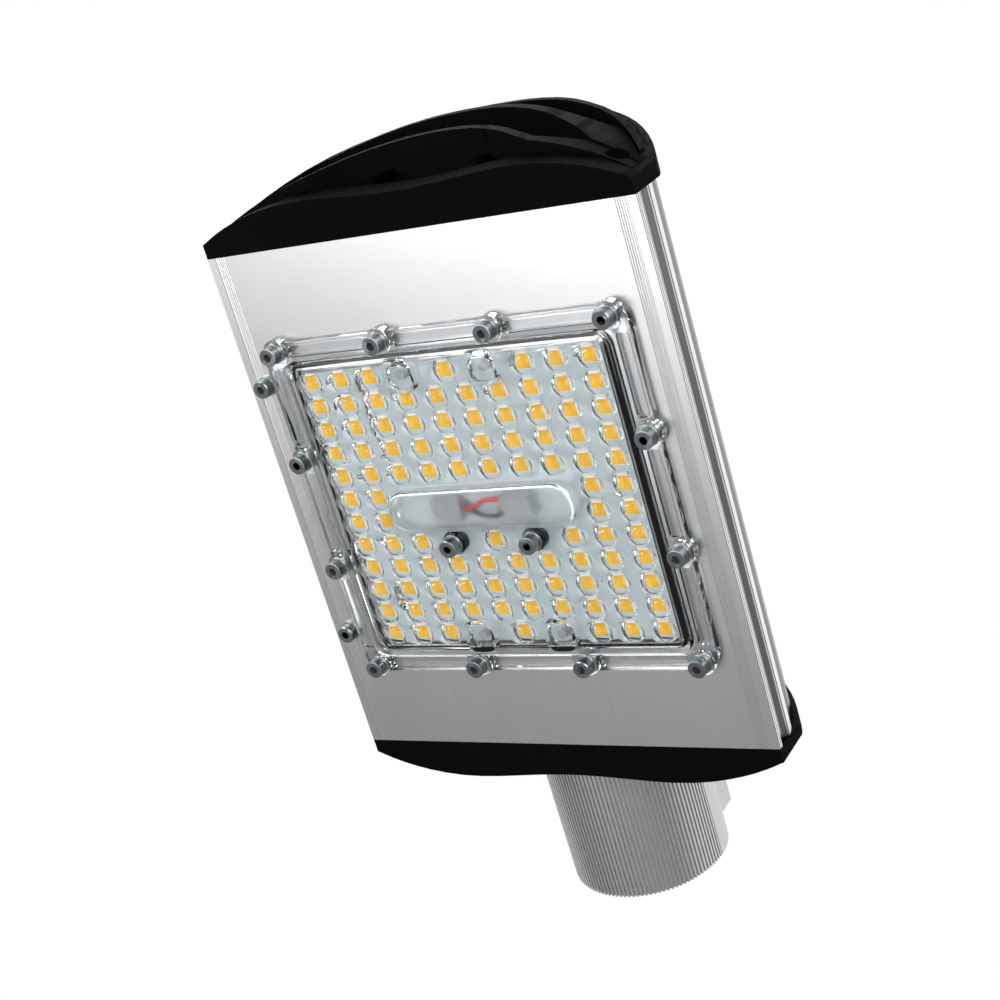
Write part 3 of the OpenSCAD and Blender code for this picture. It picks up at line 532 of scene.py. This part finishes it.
def add_floor(height, size):
    """A plain floor, pale to the camera, which keeps the object's shadow."""
    verts = [(-size, -size, height), (size, -size, height),
             (size, size, height), (-size, size, height)]
    mesh = bpy.data.meshes.new("floor")
    mesh.from_pydata(verts, [], [(0, 1, 2, 3)])
    floor = bpy.data.objects.new("floor", mesh)
    scene.collection.objects.link(floor)
    mat, tree, shader = new_material("floor")
    pale = tree.nodes.new("ShaderNodeMix")
    pale.data_type = "RGBA"
    pale.inputs["B"].default_value = (0.9, 0.9, 0.9, 1)
    path = tree.nodes.new("ShaderNodeLightPath")
    glow = tree.nodes.new("ShaderNodeMath")
    glow.operation = "MULTIPLY"
    glow.inputs[1].default_value = 0.3
    grey = two_tone(tree, noise(tree, 3), (0.45, 0.45, 0.45), (0.48, 0.48, 0.48))
    tree.links.new(grey, pale.inputs["A"])
    tree.links.new(path.outputs["Is Camera Ray"], pale.inputs["Factor"])
    tree.links.new(path.outputs["Is Camera Ray"], glow.inputs[0])
    tree.links.new(pale.outputs["Result"], shader.inputs["Base Color"])
    tree.links.new(glow.outputs[0], shader.inputs["Emission Strength"])
    shader.inputs["Emission Color"].default_value = (1, 1, 1, 1)
    shader.inputs["Roughness"].default_value = 0.9
    mesh.materials.append(mat)


def add_world(fill):
    """White to the camera and in metal and glass, and an even light of strength fill elsewhere."""
    world = bpy.data.worlds.new("studio")
    world.use_nodes = True
    tree = world.node_tree
    tree.nodes.clear()
    out = tree.nodes.new("ShaderNodeOutputWorld")
    shown = tree.nodes.new("ShaderNodeBackground")
    shown.inputs["Color"].default_value = (1, 1, 1, 1)
    shown.inputs["Strength"].default_value = 1.0
    light = tree.nodes.new("ShaderNodeBackground")
    light.inputs["Color"].default_value = (1, 1, 1, 1)
    light.inputs["Strength"].default_value = fill
    path = tree.nodes.new("ShaderNodeLightPath")
    first = tree.nodes.new("ShaderNodeMath")
    first.operation = "MAXIMUM"
    second = tree.nodes.new("ShaderNodeMath")
    second.operation = "MAXIMUM"
    mix = tree.nodes.new("ShaderNodeMixShader")
    tree.links.new(path.outputs["Is Camera Ray"], first.inputs[0])
    tree.links.new(path.outputs["Is Glossy Ray"], first.inputs[1])
    tree.links.new(first.outputs[0], second.inputs[0])
    tree.links.new(path.outputs["Is Transmission Ray"], second.inputs[1])
    tree.links.new(second.outputs[0], mix.inputs[0])
    tree.links.new(light.outputs[0], mix.inputs[1])
    tree.links.new(shown.outputs[0], mix.inputs[2])
    tree.links.new(mix.outputs[0], out.inputs[0])
    scene.world = world


def add_softbox(name, place, width, height, power):
    """A rectangular lamp turned to the middle of the light."""
    data = bpy.data.lights.new(name, "AREA")
    data.shape = "RECTANGLE"
    data.size = width
    data.size_y = height
    data.energy = power
    lamp = bpy.data.objects.new(name, data)
    lamp.location = place
    lamp.rotation_euler = (AIM - Vector(place)).to_track_quat("-Z", "Y").to_euler()
    scene.collection.objects.link(lamp)


add_floor(-1.3, 30.0)
add_world(0.5)
add_softbox("key", (-0.37, -0.397, -1.08), 0.95, 0.79, 7.8)
add_softbox("strip", (-0.65, -1.0, -0.55), 0.7, 0.1, 8)
add_softbox("fill", (1.0, -0.9, -1.0), 1.0, 1.0, 21)
add_softbox("top", (-0.6, -0.5, 1.4), 1.2, 1.2, 12)


# ---------------------------------------------------------------- camera

# The photograph's viewing angle, solved from its grid of LEDs.
right = Vector((0.84200, 0.27290, 0.46537))
up = Vector((0.04836, -0.89733, 0.43870))
back = Vector((0.53731, -0.34688, -0.76875))
camera_data = bpy.data.cameras.new("camera")
camera_data.sensor_width = 36.0
camera_data.lens = 68.52
camera_data.clip_start = 0.01
camera = bpy.data.objects.new("camera", camera_data)
camera.matrix_world = Matrix((
    (right.x, up.x, back.x, 0.3752),
    (right.y, up.y, back.y, -0.4180),
    (right.z, up.z, back.z, -0.5680),
    (0, 0, 0, 1)))
scene.collection.objects.link(camera)
scene.camera = camera
